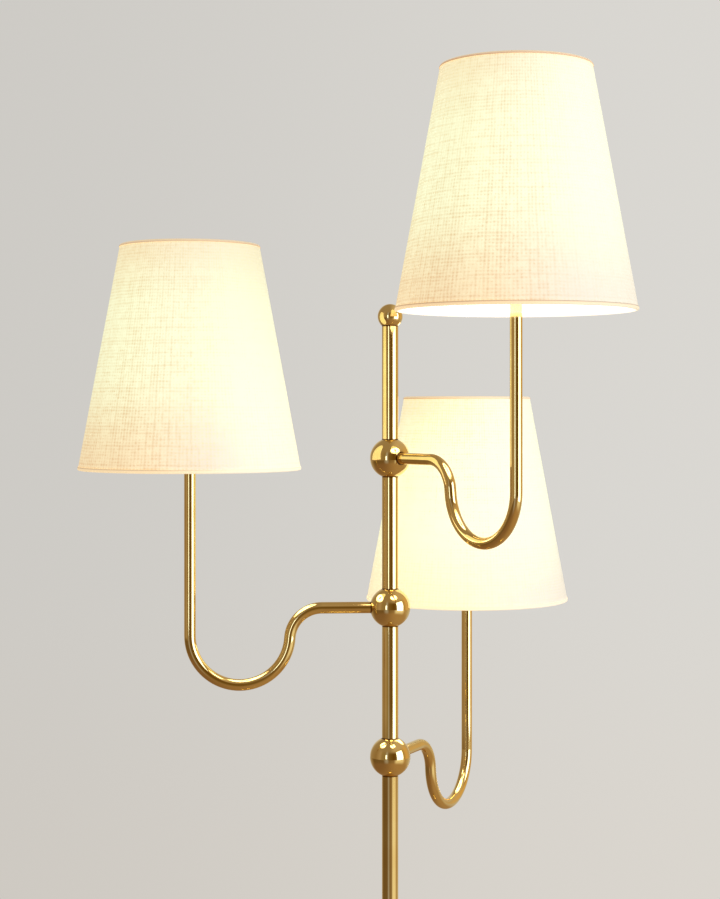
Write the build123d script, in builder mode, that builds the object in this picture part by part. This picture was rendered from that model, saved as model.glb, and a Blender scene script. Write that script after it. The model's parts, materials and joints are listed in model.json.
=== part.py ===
from build123d import *

import os
from math import acos, asin, atan, atan2, cos, degrees, hypot, radians, sin, sqrt, tan

# Tree floor lamp: a brass column with three ball hubs, each carrying a swan-bent arm and an empire shade.
#
# The column is a stack of brass tubes and ball hubs, clamped over one threaded rod between a nut under the
# base and the ball finial at the top. Each hub turns on that rod between two washers, up to a stop.
# Its arm runs out level, dips through a U bend and rises to a lampholder, which carries the bulb and shade.
#
# Millimetres and degrees. Origin on the floor under the column, +Z up, +X to the right, -Y to the front.
# An arm is drawn once with its hub centre at the origin and its reach along +X, and a lamp head once with
# its stem on the Z axis and the bottom rim of its shade at z = 0. Both are then set out for each arm.

os.makedirs("parts", exist_ok=True)

# ---- Overall layout ------------------------------------------------------------------------------------
overall_height = 1600.0  # floor to the top rim of the upper shade
hub_spacing = 155.0  # between neighbouring hub centres
finial_rise = 147.0  # upper hub centre to finial centre
arm_names = ("upper", "middle", "lower")
first_heading = -56.0  # the upper arm's direction, from +X
heading_step = -120.0  # from one arm to the next one down
swivel_half_range = 30.0  # each way, before a hub meets its stop

# ---- Clearances, all between facing surfaces ---------------------------------------------------------------
thread_fit = 0.05  # a thread's envelope in its hole, and soldered or glued joints
slip_fit = 0.1  # parts that slide together once
swivel_fit = 0.2  # parts that turn on each other
clip_fit = 0.2  # a snapped-in bushing, on each side of the wall it grips
stop_margin = 2.0  # degrees of turn left between a stop and its lug at the end of the travel

# ---- Column ------------------------------------------------------------------------------------------------
column_diameter = 17.0
column_wall = 1.2
rod_diameter = 10.0
rod_bore = 7.0
rod_window_diameter = 4.6  # lets a lead out of the rod into a hub
rod_foot = 1.0  # from the pad up to the rod's lower end
finial_diameter = 26.0
finial_cover = 1.0  # from the end of the finial's blind hole up to its centre
rod_end_gap = 0.5  # between the rod and the end of that blind hole

# ---- Hubs --------------------------------------------------------------------------------------------------
hub_diameter = 42.0
hub_floor = 15.0  # hub centre to the floor of the seat for a column tube
hub_cavity_diameter = 26.0
hub_cavity_height = 22.0
washer_thickness = 0.8
washer_play = 0.05  # on each face of a swivel washer
collar_diameter = 15.0
collar_height = 6.0
collar_drop = 4.0  # hub centre down to the stop collar's top face
lug_width = 5.0
lug_length = 12.0  # column axis to the tip of a stop lug
rib_width = 4.0
rib_inner_radius = 9.2  # column axis to the inner face of a stop rib
rib_height = 8.0

# ---- Arms --------------------------------------------------------------------------------------------------
arm_diameter = 12.0
arm_wall = 1.0
arm_reach = 207.0  # column axis to stem axis
arm_drop = 79.0  # hub centre down to the tube's centreline at the foot of the U
arm_bend_radius = 33.0
arm_u_radius = 51.5
arm_seat_radius = 17.5  # column axis to the tube's end inside its hub
hub_spigot_diameter = 8.0
hub_spigot_bore = 5.0
hub_spigot_length = 4.9
stem_spigot_diameter = 10.0
stem_spigot_bore = 6.0
stem_spigot_length = 9.0
plug_length = 4.0
lead_width = 3.6
lead_thickness = 2.0
lead_start = 8.0  # column axis to the inner end of an arm's lead
column_lead_diameter = 6.2
column_lead_tail_diameter = 3.6
column_lead_tail_reach = 6.5  # column axis to the end of a tail

# ---- Lampholder, with heights from the shade's bottom rim -----------------------------------------------------
shade_rise = 143.0  # hub centre up to the shade's bottom rim
stem_top = 20.0
cup_height = 12.0
cup_wall = 1.0
cup_corner = 8.0
body_diameter = 38.0
body_shoulder = 57.0  # where the shade carrier rests
body_top = 71.0
body_neck_diameter = 34.4
body_chamfer = 7.0
chamber_diameter = 26.0
chamber_floor = 30.0
chamber_top = 42.0
holder_floor = 45.0
contact_shell_diameter = 28.0
contact_shell_wall = 0.6
contact_shell_top = 69.0
contact_tab_diameter = 8.0
contact_tab_thickness = 1.5
lead_end = 36.0
knob_height = 36.0
knob_shaft_diameter = 4.0
knob_cam_diameter = 8.0
knob_cam_thickness = 2.0
knob_cam_start = 10.0  # stem axis to the inner face of the switch cam
knob_start = 21.5  # stem axis to the inner face of the knob
knob_length = 13.5
knob_diameter = 11.0
knob_edge = 1.0
knob_flutes = 10
knob_flute_diameter = 1.8

# ---- Shade, its carrier and its nut ----------------------------------------------------------------------------
shade_bottom_diameter = 230.0
shade_top_diameter = 144.0
shade_height = 232.0
hem_thickness = 0.6
hem_height = 4.0
fabric_thickness = 0.7
liner_thickness = 0.5
wire_diameter = 3.0  # of the top and bottom rings
spoke_wire_diameter = 2.4
fitter_diameter = 52.0
fitter_thickness = 1.6
spoke_count = 3
spoke_elbow_radius = 52.0  # stem axis to where a spoke turns up
spoke_bend_radius = 10.0
nut_diameter = 44.0
nut_height = 7.0
nut_notches = 16
nut_notch_diameter = 2.0

# ---- Bulb ------------------------------------------------------------------------------------------------------
bulb_diameter = 60.0
bulb_length = 106.0  # contact tip to crown
bulb_cap_diameter = 26.2
bulb_cap_length = 25.0
bulb_cap_taper = 4.0
bulb_tip_diameter = 8.0
bulb_tip_length = 2.4
bulb_neck_diameter = 25.6
bulb_neck_length = 3.0
bulb_neck_blend = 12.0
bulb_glass_wall = 1.0

# ---- Base ------------------------------------------------------------------------------------------------------
base_diameter = 280.0
base_height = 27.0
base_edge_height = 20.0
base_edge_radius = 7.0
base_flat_diameter = 48.0
cover_wall = 1.5
cover_floor_gap = 1.0
pad_thickness = 2.0
pad_inset = 1.5  # from the cover's inner wall
weight_inset = 7.5  # from the cover's inner wall, to clear the bushing's lip
weight_thickness = 14.0
weight_edge_radius = 4.0
weight_boss_diameter = 44.0
nut_pocket_diameter = 40.0
nut_pocket_depth = 10.0
base_washer_diameter = 30.0
base_washer_thickness = 2.0
base_nut_across_flats = 17.0
base_nut_height = 6.0
cord_height = 7.5
cord_channel_width = 8.0
cord_bore_diameter = 5.8
bushing_neck_diameter = 8.4
bushing_flange_diameter = 11.6
bushing_flange_thickness = 1.6
bushing_lip_diameter = 10.4
bushing_lip_thickness = 2.0
seat_foot_diameter = 42.0
seat_foot_height = 3.0
seat_height = 16.0
seat_neck_wall = 3.0
seat_socket_depth = 8.0

# ---- Derived sizes ---------------------------------------------------------------------------------------------
upper_hub_z = overall_height - shade_height - shade_rise
hub_z = {name: upper_hub_z - hub_spacing * i for i, name in enumerate(arm_names)}
heading = {name: first_heading + heading_step * i for i, name in enumerate(arm_names)}
finial_z = upper_hub_z + finial_rise

column_radius = column_diameter / 2
rod_radius = rod_diameter / 2
hub_radius = hub_diameter / 2
finial_radius = finial_diameter / 2
finial_flat = sqrt(finial_radius**2 - column_radius**2)
tube_gap = hub_floor + washer_thickness + 2 * washer_play  # hub centre to a column tube's end

rib_half_angle = degrees(asin(rib_width / 2 / rib_inner_radius))
lug_half_angle = degrees(asin(lug_width / 2 / rib_inner_radius))
rib_angle = swivel_half_range + stop_margin + lug_half_angle + rib_half_angle
rib_length = hub_cavity_diameter / 2 + slip_fit - rib_inner_radius

arm_radius = arm_diameter / 2
u_centre = (arm_reach - arm_u_radius, arm_u_radius - arm_drop)
bend_tilt = asin((u_centre[1] + arm_bend_radius) / (arm_bend_radius + arm_u_radius))
bend_centre = (u_centre[0] - (arm_bend_radius + arm_u_radius) * cos(bend_tilt), -arm_bend_radius)

cup_radius = body_diameter / 2 + swivel_fit + cup_wall
body_foot = stem_top + cup_wall + slip_fit
contact_shell_radius = contact_shell_diameter / 2
bulb_tip = holder_floor + contact_tab_thickness + thread_fit
bulb_cap_top = bulb_tip + bulb_cap_length
bulb_centre = bulb_tip + bulb_length - bulb_diameter / 2

shade_taper = atan((shade_bottom_diameter - shade_top_diameter) / 2 / shade_height)
wire_radius = wire_diameter / 2
rim_wire_height = hem_thickness + thread_fit + wire_radius  # a rim to the centre of its wire
fabric_inset = hem_thickness
liner_inset = fabric_inset + fabric_thickness + thread_fit
wire_inset = liner_inset + liner_thickness + thread_fit + wire_radius / cos(shade_taper)
hem_inner_inset = wire_inset + wire_radius + thread_fit + hem_thickness
fitter_top = body_shoulder + fitter_thickness

cover_inner_radius = base_diameter / 2 - cover_wall
pad_radius = cover_inner_radius - pad_inset
weight_radius = cover_inner_radius - weight_inset
washer_seat = pad_thickness + nut_pocket_depth
seat_top = base_height + seat_height
column_foot = seat_top - seat_socket_depth
rod_bottom = pad_thickness + rod_foot
rod_top = finial_z - finial_cover - rod_end_gap

STANDING = (Align.CENTER, Align.CENTER, Align.MIN)
HANGING = (Align.CENTER, Align.CENTER, Align.MAX)


def facing(angle, distance, height):
    """The plane at a distance from the Z axis that looks outwards, at an angle from +X."""
    outwards = (cos(radians(angle)), sin(radians(angle)), 0)
    return Plane(origin=(distance * outwards[0], distance * outwards[1], height), z_dir=outwards)


def write(piece, name):
    """Labels a finished piece and writes it as its own file."""
    piece.label = name
    export_step(piece, f"parts/{name}.step")


# ==== Base ==========================================================================================================
# Felt pad over the whole underside, which hides the nut pocket and the cord channel.
with BuildPart() as base_pad:
    Cylinder(pad_radius, pad_thickness, align=STANDING)
write(base_pad.part, "base_pad")

# Cast iron ballast. A boss carries the clamping load up to the cover.
with BuildPart() as base_weight:
    with Locations((0, 0, pad_thickness)):
        Cylinder(weight_radius, weight_thickness, align=STANDING)
    fillet(base_weight.edges().sort_by(Axis.Z)[-1], weight_edge_radius)
    with Locations((0, 0, base_height - cover_wall)):
        Cylinder(weight_boss_diameter / 2, base_height - cover_wall - washer_seat, align=HANGING)
    with BuildSketch(Plane.XY.offset(pad_thickness)):
        Circle(nut_pocket_diameter / 2)
        with Locations((0, weight_radius / 2)):
            Rectangle(cord_channel_width, weight_radius)
    extrude(amount=nut_pocket_depth, mode=Mode.SUBTRACT)
    Hole(rod_radius + slip_fit)
write(base_weight.part, "base_weight")

# Spun brass cover: a low dome with a rolled edge, open underneath.
with BuildPart() as base_cover:
    with BuildSketch(Plane.XZ) as cover_profile:
        Polygon(
            (0, cover_floor_gap),
            (base_diameter / 2, cover_floor_gap),
            (base_diameter / 2, base_edge_height),
            (base_flat_diameter / 2, base_height),
            (0, base_height),
            align=None,
        )
        fillet(cover_profile.vertices().group_by(Axis.X)[-1].sort_by(Axis.Y)[-1], base_edge_radius)
    revolve(axis=Axis.Z)
    offset(amount=-cover_wall, openings=base_cover.faces().sort_by(Axis.Z)[0])
    Hole(rod_radius + slip_fit)
    with Locations(facing(90, base_diameter / 2, cord_height)):
        Hole(bushing_neck_diameter / 2 + slip_fit, depth=2 * cover_wall)
write(base_cover.part, "base_cover")

# Moulded bushing for the supply cord, snapped into the rim of the cover at the back.
bushing_grip = cover_wall + 2 * clip_fit
with BuildPart() as cord_bushing:
    with Locations(facing(90, base_diameter / 2 + clip_fit, cord_height)):
        Cylinder(bushing_flange_diameter / 2, bushing_flange_thickness, align=STANDING)
        Cylinder(bushing_neck_diameter / 2, bushing_grip, align=HANGING)
    with Locations(facing(90, base_diameter / 2 + clip_fit - bushing_grip, cord_height)):
        Cylinder(bushing_lip_diameter / 2, bushing_lip_thickness, align=HANGING)
    fillet(cord_bushing.edges().sort_by(Axis.Y)[-1], bushing_flange_thickness / 2)
    with Locations(facing(90, base_diameter / 2, cord_height)):
        Hole(cord_bore_diameter / 2)
write(cord_bushing.part, "cord_bushing")

# Washer and nut that draw the whole column down on the base.
with BuildPart() as base_fixings:
    with Locations((0, 0, washer_seat)):
        Cylinder(base_washer_diameter / 2, base_washer_thickness, align=HANGING)
    with BuildSketch(Plane.XY.offset(washer_seat - base_washer_thickness - thread_fit)):
        RegularPolygon(base_nut_across_flats / 2, 6, major_radius=False)
    extrude(amount=-base_nut_height)
    Hole(rod_radius + thread_fit)
write(base_fixings.part, "base_fixings")

# Turned seat that the column stands in, coved from its foot up to its neck.
with BuildPart() as column_seat:
    with BuildSketch(Plane.XZ):
        with BuildLine():
            cove_foot = (seat_foot_diameter / 2, base_height + seat_foot_height)
            cove_head = (column_radius + slip_fit + seat_neck_wall, seat_top)
            Polyline(cove_head, (0, seat_top), (0, base_height), (seat_foot_diameter / 2, base_height), cove_foot)
            RadiusArc(cove_foot, cove_head, -seat_foot_diameter / 2)
        make_face()
    revolve(axis=Axis.Z)
    with Locations((0, 0, seat_top)):
        CounterBoreHole(rod_radius + slip_fit, column_radius + slip_fit, seat_socket_depth)
write(column_seat.part, "column_seat")

# ==== Column ========================================================================================================
# Threaded rod, hollow for the lead, with a window in each hub.
with BuildPart() as column_rod:
    with BuildSketch(Plane.XY.offset(rod_bottom)):
        Circle(rod_radius)
        Circle(rod_bore / 2, mode=Mode.SUBTRACT)
    extrude(amount=rod_top - rod_bottom)
    for name in arm_names:
        with Locations(facing(heading[name], rod_radius, hub_z[name])):
            Hole(rod_window_diameter / 2, depth=rod_radius)
write(column_rod.part, "column_rod")

# Column tubes, each between two seats.
tube_ends = {
    "column_tube_lower": (column_foot, hub_z["lower"] - tube_gap),
    "column_tube_middle": (hub_z["lower"] + tube_gap, hub_z["middle"] - tube_gap),
    "column_tube_upper": (hub_z["middle"] + tube_gap, hub_z["upper"] - tube_gap),
    "column_tube_top": (hub_z["upper"] + tube_gap, finial_z - finial_flat),
}
for tube_name, (foot, head) in tube_ends.items():
    with BuildPart() as column_tube:
        with BuildSketch(Plane.XY.offset(foot)):
            Circle(column_radius)
            Circle(column_radius - column_wall, mode=Mode.SUBTRACT)
        extrude(amount=head - foot)
    write(column_tube.part, tube_name)

# Ball finial, screwed on the rod's upper end.
with BuildPart() as finial_ball:
    with Locations((0, 0, finial_z)):
        Sphere(finial_radius)
    split(bisect_by=Plane.XY.offset(finial_z - finial_flat), keep=Keep.TOP)
    with Locations((0, 0, finial_z - finial_flat)):
        Cylinder(rod_radius + thread_fit, finial_flat - finial_cover, align=STANDING, mode=Mode.SUBTRACT)
write(finial_ball.part, "finial_ball")

# Washers between each hub and the tubes above and below it.
with BuildPart() as swivel_washers:
    for name in arm_names:
        for side in (-1, 1):
            with BuildSketch(Plane.XY.offset(hub_z[name] + side * (hub_floor + washer_play))):
                Circle(column_radius)
                Circle(rod_radius + slip_fit, mode=Mode.SUBTRACT)
            extrude(amount=side * washer_thickness)
write(swivel_washers.part, "swivel_washers")

# Stop collars fixed on the rod, one in each hub, with a lug that points away from the arm.
with BuildPart() as stop_collars:
    for name in arm_names:
        with BuildSketch(Plane.XY.offset(hub_z[name] - collar_drop)):
            Circle(collar_diameter / 2)
            with PolarLocations(lug_length / 2, 1, start_angle=heading[name] + 180):
                Rectangle(lug_length, lug_width)
            Circle(rod_radius + thread_fit, mode=Mode.SUBTRACT)
        extrude(amount=-collar_height)
write(stop_collars.part, "stop_collars")

# Lead in the rod, with a tail out of each window.
with BuildPart() as column_lead:
    with Locations((0, 0, rod_bottom)):
        Cylinder(column_lead_diameter / 2, hub_z["upper"] + rod_window_diameter - rod_bottom, align=STANDING)
    for name in arm_names:
        with Locations(facing(heading[name], 0, hub_z[name])):
            Cylinder(column_lead_tail_diameter / 2, column_lead_tail_reach, align=STANDING)
write(column_lead.part, "column_lead")

# ==== Hub and arm, drawn at the hub centre with the reach along +X ===================================================
# Ball hub: a seat for a tube above and below, a socket for the arm, and a cavity with two stop ribs.
with BuildPart() as hub_ball:
    Sphere(hub_radius)
    Cylinder(hub_cavity_diameter / 2, hub_cavity_height, mode=Mode.SUBTRACT)
    with BuildSketch(Plane.XY.offset(-hub_cavity_height / 2)):
        with PolarLocations(
            rib_inner_radius + rib_length / 2, 2, 180 - rib_angle, angular_range=2 * rib_angle, endpoint=True
        ):
            Rectangle(rib_length, rib_width)
    extrude(amount=rib_height)
    Hole(rod_radius + swivel_fit)
    for side in (-1, 1):
        with BuildSketch(Plane.XY.offset(side * hub_floor)):
            Circle(column_radius + swivel_fit)
        extrude(amount=side * (hub_radius - hub_floor), mode=Mode.SUBTRACT)
    with Locations(facing(0, hub_radius, 0)):
        CounterBoreHole(
            hub_spigot_diameter / 2 + thread_fit,
            arm_radius + thread_fit,
            counter_bore_depth=hub_radius - arm_seat_radius,
            depth=hub_radius,
        )


def arm_route(start, end):
    """Centreline of the arm, from a distance along the level run to a height above the hub centre."""
    with BuildLine(Plane.XZ) as route:
        Line((start, 0), (bend_centre[0], 0))
        CenterArc(bend_centre, arm_bend_radius, 90, degrees(bend_tilt) - 90)
        CenterArc(u_centre, arm_u_radius, 180 + degrees(bend_tilt), 180 - degrees(bend_tilt))
        Line((arm_reach, u_centre[1]), (arm_reach, end))
    return route.wire()


# Bent brass tube, with a turned spigot soldered in each end.
with BuildPart() as arm_tube:
    tube_route = arm_route(arm_seat_radius, shade_rise + stem_top)
    with BuildSketch(Plane(tube_route ^ 0)):
        Circle(arm_radius)
        Circle(arm_radius - arm_wall, mode=Mode.SUBTRACT)
    sweep(path=tube_route)
    with Locations(Plane(origin=(arm_seat_radius, 0, 0), z_dir=(-1, 0, 0))):
        Cylinder(hub_spigot_diameter / 2, hub_spigot_length, align=STANDING)
        Cylinder(arm_radius - arm_wall / 2, plug_length, align=HANGING)
        Cylinder(hub_spigot_bore / 2, 2 * (hub_spigot_length + plug_length), mode=Mode.SUBTRACT)
    with Locations((arm_reach, 0, shade_rise + stem_top)):
        Cylinder(stem_spigot_diameter / 2, stem_spigot_length, align=STANDING)
        Cylinder(arm_radius - arm_wall / 2, plug_length, align=HANGING)
        Cylinder(stem_spigot_bore / 2, 2 * (stem_spigot_length + plug_length), mode=Mode.SUBTRACT)

# Flat lead through the arm, from the hub's cavity to the lampholder's chamber.
with BuildPart() as arm_lead:
    lead_route = arm_route(lead_start, shade_rise + lead_end)
    with BuildSketch(Plane(lead_route ^ 0)):
        Rectangle(lead_width, lead_thickness)
    sweep(path=lead_route)

# ==== Lampholder, drawn on the stem axis with the shade's bottom rim at z = 0 ========================================
# Brass cup over the foot of the lampholder.
with BuildPart() as socket_cup:
    with Locations((0, 0, stem_top)):
        Cylinder(cup_radius, cup_height, align=STANDING)
    fillet(socket_cup.edges().sort_by(Axis.Z)[0], cup_corner)
    offset(amount=-cup_wall, openings=socket_cup.faces().sort_by(Axis.Z)[-1])
    with Locations((0, 0, stem_top)):
        Hole(stem_spigot_diameter / 2 + thread_fit)

# Moulded body: a wiring and switch chamber below, the screw holder above, and a neck for the shade nut.
with BuildPart() as socket_body:
    with BuildSketch(Plane.XZ):
        Polygon(
            (0, body_foot),
            (body_diameter / 2 - body_chamfer, body_foot),
            (body_diameter / 2, body_foot + body_chamfer),
            (body_diameter / 2, body_shoulder),
            (body_neck_diameter / 2, body_shoulder),
            (body_neck_diameter / 2, body_top),
            (0, body_top),
            align=None,
        )
    revolve(axis=Axis.Z)
    with Locations((0, 0, chamber_floor)):
        Cylinder(chamber_diameter / 2, chamber_top - chamber_floor, align=STANDING, mode=Mode.SUBTRACT)
        Hole(stem_spigot_diameter / 2 + thread_fit, depth=chamber_floor - body_foot)
    with Locations((0, 0, body_top)):
        Hole(contact_shell_radius + thread_fit, depth=body_top - holder_floor)
    with Locations(facing(90, body_diameter / 2, knob_height)):
        Hole(knob_shaft_diameter / 2 + swivel_fit, depth=body_diameter / 2 - knob_cam_start)

# Screw shell and centre contact.
with BuildPart() as socket_contacts:
    with BuildSketch(Plane.XY.offset(holder_floor)):
        Circle(contact_shell_radius)
        Circle(contact_shell_radius - contact_shell_wall, mode=Mode.SUBTRACT)
    extrude(amount=contact_shell_top - holder_floor)
    with Locations((0, 0, holder_floor)):
        Cylinder(contact_tab_diameter / 2, contact_tab_thickness, align=STANDING)

# Turn knob of the lampholder's switch, with its shaft and the cam on its inner end.
with BuildPart() as switch_knob:
    with Locations(facing(90, knob_start, knob_height)):
        Cylinder(knob_diameter / 2, knob_length, align=STANDING)
        Cylinder(knob_shaft_diameter / 2, knob_start - knob_cam_start, align=HANGING)
    chamfer(switch_knob.edges().sort_by(Axis.Y)[-1], knob_edge)
    with Locations(facing(90, knob_cam_start, knob_height)):
        Cylinder(knob_cam_diameter / 2, knob_cam_thickness, align=STANDING)
    with BuildSketch(facing(90, knob_start, knob_height)):
        with PolarLocations(knob_diameter / 2, knob_flutes):
            Circle(knob_flute_diameter / 2)
    extrude(amount=knob_length, mode=Mode.SUBTRACT)

# Ring nut that clamps the shade carrier on the shoulder, notched for grip.
with BuildPart() as shade_nut:
    with BuildSketch(Plane.XY.offset(fitter_top + thread_fit)):
        Circle(nut_diameter / 2)
        Circle(body_neck_diameter / 2 + thread_fit, mode=Mode.SUBTRACT)
        with PolarLocations(nut_diameter / 2, nut_notches):
            Circle(nut_notch_diameter / 2, mode=Mode.SUBTRACT)
    extrude(amount=nut_height)

# ==== Shade ==========================================================================================================


def shade_radius(height):
    """Outer radius of the shade at a height above its bottom rim."""
    return shade_bottom_diameter / 2 - height * (shade_bottom_diameter - shade_top_diameter) / 2 / shade_height


def wall_band(inset, thickness, foot, head):
    """Corners of a layer of the shade's wall, inset from its outer face, between two heights."""
    outer_foot = shade_radius(foot) - inset
    outer_head = shade_radius(head) - inset
    return (outer_foot - thickness, foot), (outer_foot, foot), (outer_head, head), (outer_head - thickness, head)


wall_foot = hem_thickness + thread_fit
wall_head = shade_height - wall_foot
top_wire_z = shade_height - rim_wire_height
spoke_z = body_shoulder + fitter_thickness / 2
spoke_start = nut_diameter / 2 + spoke_wire_diameter / 2
slit_width = spoke_wire_diameter + 2 * swivel_fit

# Linen, stretched over the liner.
with BuildPart() as shade_fabric:
    with BuildSketch(Plane.XZ):
        Polygon(*wall_band(fabric_inset, fabric_thickness, wall_foot, wall_head), align=None)
    revolve(axis=Axis.Z)

# Stiff white liner, which the linen is laminated to.
with BuildPart() as shade_liner:
    with BuildSketch(Plane.XZ):
        Polygon(*wall_band(liner_inset, liner_thickness, wall_foot, wall_head), align=None)
    revolve(axis=Axis.Z)

# One wire spoke, from the fitter ring out, up and into the top ring.
with BuildPart() as spoke:
    with BuildLine(Plane.XZ) as spoke_route:
        FilletPolyline(
            (spoke_start, spoke_z),
            (spoke_elbow_radius, spoke_z),
            (shade_radius(top_wire_z) - wire_inset, top_wire_z),
            radius=spoke_bend_radius,
        )
    with BuildSketch(Plane(spoke_route.wire() ^ 0)):
        Circle(spoke_wire_diameter / 2)
    sweep()

# Welded carrier: a flat fitter ring on the lampholder, three spokes and the top ring.
with BuildPart() as shade_carrier:
    with BuildSketch(Plane.XY.offset(body_shoulder)):
        Circle(fitter_diameter / 2)
        Circle(body_neck_diameter / 2 + slip_fit, mode=Mode.SUBTRACT)
    extrude(amount=fitter_thickness)
    with PolarLocations(0, spoke_count):
        add(spoke.part)
    with Locations((0, 0, top_wire_z)):
        Torus(shade_radius(top_wire_z) - wire_inset, wire_radius, rotation=(0, 0, 180 / spoke_count))

# Loose ring in the bottom hem.
with BuildPart() as shade_bottom_ring:
    with Locations((0, 0, rim_wire_height)):
        Torus(shade_radius(rim_wire_height) - wire_inset, wire_radius)

# Rolled hems: tape folded over each rim, from the linen round the wire, slit where a spoke comes in.
with BuildPart() as shade_hems:
    with BuildSketch(Plane.XZ):
        for rim, inwards in ((0, 1), (shade_height, -1)):
            fold = rim + inwards * hem_thickness
            edge = rim + inwards * hem_height
            inner = shade_radius(rim + inwards * rim_wire_height) - hem_inner_inset
            foot, head = sorted((rim, edge))
            Polygon(*wall_band(0, hem_thickness, foot, head), align=None)
            Polygon((inner, rim), (shade_radius(rim), rim), (shade_radius(fold), fold), (inner, fold), align=None)
            Polygon((inner, rim), (inner + hem_thickness, rim), (inner + hem_thickness, edge), (inner, edge), align=None)
    revolve(axis=Axis.Z)
    with Locations((0, 0, top_wire_z + wire_radius / 2)):
        with PolarLocations(shade_radius(top_wire_z) - hem_inner_inset + hem_thickness / 2, spoke_count):
            Box(4 * hem_thickness, slit_width, hem_height, align=HANGING, mode=Mode.SUBTRACT)

# ==== Bulb ===========================================================================================================
# Screw cap and its contact.
with BuildPart() as bulb_base:
    with BuildSketch(Plane.XZ):
        Polygon(
            (0, bulb_tip),
            (bulb_tip_diameter / 2, bulb_tip),
            (bulb_tip_diameter / 2, bulb_tip + bulb_tip_length),
            (bulb_cap_diameter / 2, bulb_tip + bulb_tip_length + bulb_cap_taper),
            (bulb_cap_diameter / 2, bulb_cap_top),
            (0, bulb_cap_top),
            align=None,
        )
    revolve(axis=Axis.Z)

# Glass envelope: a ball that runs down tangentially into a straight neck, drawn as a solid less its inside.
neck_top = bulb_cap_top + bulb_neck_length
neck_distance = hypot(bulb_neck_diameter / 2, bulb_centre - neck_top)
cone_tilt = degrees(
    atan2(bulb_centre - neck_top, bulb_neck_diameter / 2) - acos(bulb_diameter / 2 / neck_distance)
)
with BuildPart() as bulb_glass:
    for skin, mode in ((0, Mode.ADD), (bulb_glass_wall, Mode.SUBTRACT)):
        with BuildSketch(Plane.XZ):
            with BuildLine():
                ball = CenterArc((0, bulb_centre), bulb_diameter / 2 - skin, 90, -90 - cone_tilt)
                neck_radius = bulb_neck_diameter / 2 - skin
                cone_foot = (ball @ 1).Y - ((ball @ 1).X - neck_radius) / tan(radians(cone_tilt))
                FilletPolyline(
                    ball @ 1, (neck_radius, cone_foot), (neck_radius, bulb_cap_top), radius=bulb_neck_blend + skin
                )
                Polyline((neck_radius, bulb_cap_top), (0, bulb_cap_top), ball @ 0)
            make_face()
        revolve(axis=Axis.Z, mode=mode)

# ==== Setting out ====================================================================================================
arm_pieces = {
    "hub_ball": hub_ball.part,
    "arm_tube": arm_tube.part,
    "arm_lead": arm_lead.part,
}
head_pieces = {
    "socket_cup": socket_cup.part,
    "socket_body": socket_body.part,
    "socket_contacts": socket_contacts.part,
    "switch_knob": switch_knob.part,
    "shade_nut": shade_nut.part,
    "shade_carrier": shade_carrier.part,
    "shade_bottom_ring": shade_bottom_ring.part,
    "shade_fabric": shade_fabric.part,
    "shade_liner": shade_liner.part,
    "shade_hems": shade_hems.part,
    "bulb_base": bulb_base.part,
    "bulb_glass": bulb_glass.part,
}
for name in arm_names:
    hub_place = Location((0, 0, hub_z[name]), (0, 0, heading[name]))
    head_place = hub_place * Location((arm_reach, 0, shade_rise))
    for piece_name, piece in arm_pieces.items():
        write(piece.moved(hub_place), f"{piece_name}_{name}")
    for piece_name, piece in head_pieces.items():
        write(piece.moved(head_place), f"{piece_name}_{name}")
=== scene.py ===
import json
from math import atan, cos, degrees, pi, radians, sin, tau

import bmesh
import bpy
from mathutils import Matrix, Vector, noise


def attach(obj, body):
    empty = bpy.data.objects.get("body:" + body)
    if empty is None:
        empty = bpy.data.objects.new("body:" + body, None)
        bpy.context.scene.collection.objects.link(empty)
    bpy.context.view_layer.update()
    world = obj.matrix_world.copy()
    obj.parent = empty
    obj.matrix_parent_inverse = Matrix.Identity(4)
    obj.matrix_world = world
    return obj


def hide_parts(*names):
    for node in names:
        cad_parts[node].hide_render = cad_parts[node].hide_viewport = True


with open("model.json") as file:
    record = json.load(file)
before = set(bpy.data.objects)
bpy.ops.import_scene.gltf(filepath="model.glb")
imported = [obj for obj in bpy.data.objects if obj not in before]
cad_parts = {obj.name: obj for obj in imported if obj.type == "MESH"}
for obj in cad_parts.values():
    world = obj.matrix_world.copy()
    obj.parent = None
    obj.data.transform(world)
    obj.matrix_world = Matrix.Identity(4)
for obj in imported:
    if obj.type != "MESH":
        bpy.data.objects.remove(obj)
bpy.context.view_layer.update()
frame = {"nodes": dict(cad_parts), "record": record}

# Metres, in the frame of the CAD: floor at z = 0, column on the Z axis, the viewer on the -Y side.

# ---- Sizes that the CAD gives, repeated here in metres ----
ARMS = ("upper", "middle", "lower")
REACH = 0.207  # from the column's axis to that of a stem
RISE = 0.143  # from a hub's centre to its shade's bottom rim
HUB_Z = {"upper": 1.225, "middle": 1.070, "lower": 0.915}
HEADING = {"upper": -56.0, "middle": -176.0, "lower": -296.0}  # degrees from +X to each arm
COLUMN_RADIUS, COLUMN_OUT = 0.0085, 0.0192  # the column, and how far from a hub's centre it enters the ball
ARM_RADIUS, ARM_OUT = 0.006, 0.0201  # the same of an arm
FINIAL_Z, FINIAL_OUT = 1.372, 0.0098  # the finial's centre, and how far from it the column enters
SHADE_FOOT, SHADE_HEAD = 0.115, 0.072  # outer radii of a shade at its bottom and top rim
SHADE_HEIGHT = 0.232
SHADE_SLOPE = (SHADE_FOOT - SHADE_HEAD) / SHADE_HEIGHT
SHADE_TAPER = atan(SHADE_SLOPE)
TAPE = 0.0006  # thickness of the hem tape, which the linen sits behind
WIRE = 0.0015  # radius of the rings in the hems
WIRE_INSET = 0.0034  # from the shade's outer face to the middle of a ring
WIRE_RISE = 0.002  # from a rim to the middle of its ring
SPOKES = (-56.0, 64.0, 184.0)  # degrees from +X to the carrier's spokes, where they meet the top ring
PAD_RADIUS, PAD_HEIGHT = 0.137, 0.002


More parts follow.
